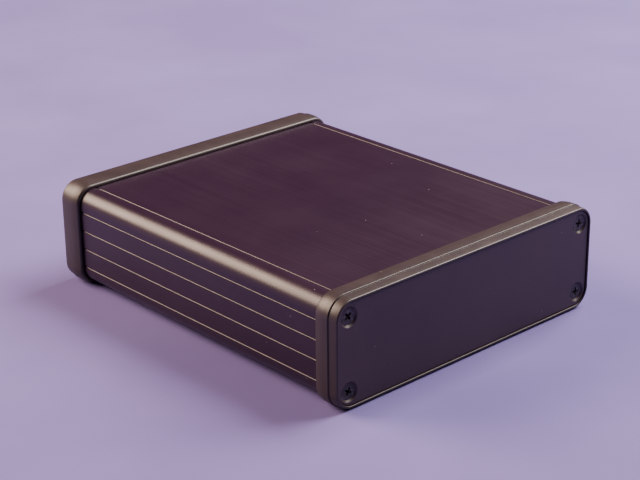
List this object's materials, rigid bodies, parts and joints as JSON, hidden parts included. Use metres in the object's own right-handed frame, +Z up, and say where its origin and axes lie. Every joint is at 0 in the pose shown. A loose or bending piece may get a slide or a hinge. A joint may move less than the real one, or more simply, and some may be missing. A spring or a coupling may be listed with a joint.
{
  "type": "extruded aluminium enclosure",
  "caption": "Shallow extruded aluminium case for a circuit card, with grooved sides, a sliding cover plate beneath, moulded end bezels and flat screwed end panels.",
  "frame": {"origin": "on the surface that the bezels stand on, at the middle of the length and width", "axes": "+X to the right along the front panel, +Y from the front end to the rear end along the extrusion, +Z up"},
  "size_m": [0.1062, 0.1264, 0.0336],
  "materials": {
    "anodised_body": "satin black anodising with fine lines along the extrusion",
    "bezel_plastic": "black moulded plastic with a fine matt texture",
    "panel_black": "satin black anodised sheet",
    "screw_black": "black oxide steel"
  },
  "bodies": {
    "root": {"body_extrusion": "anodised_body", "cover_plate": "anodised_body", "front_bezel": "bezel_plastic", "rear_bezel": "bezel_plastic", "front_panel": "panel_black", "rear_panel": "panel_black", "front_screws": "screw_black", "rear_screws": "screw_black"}
  },
  "joints": []
}
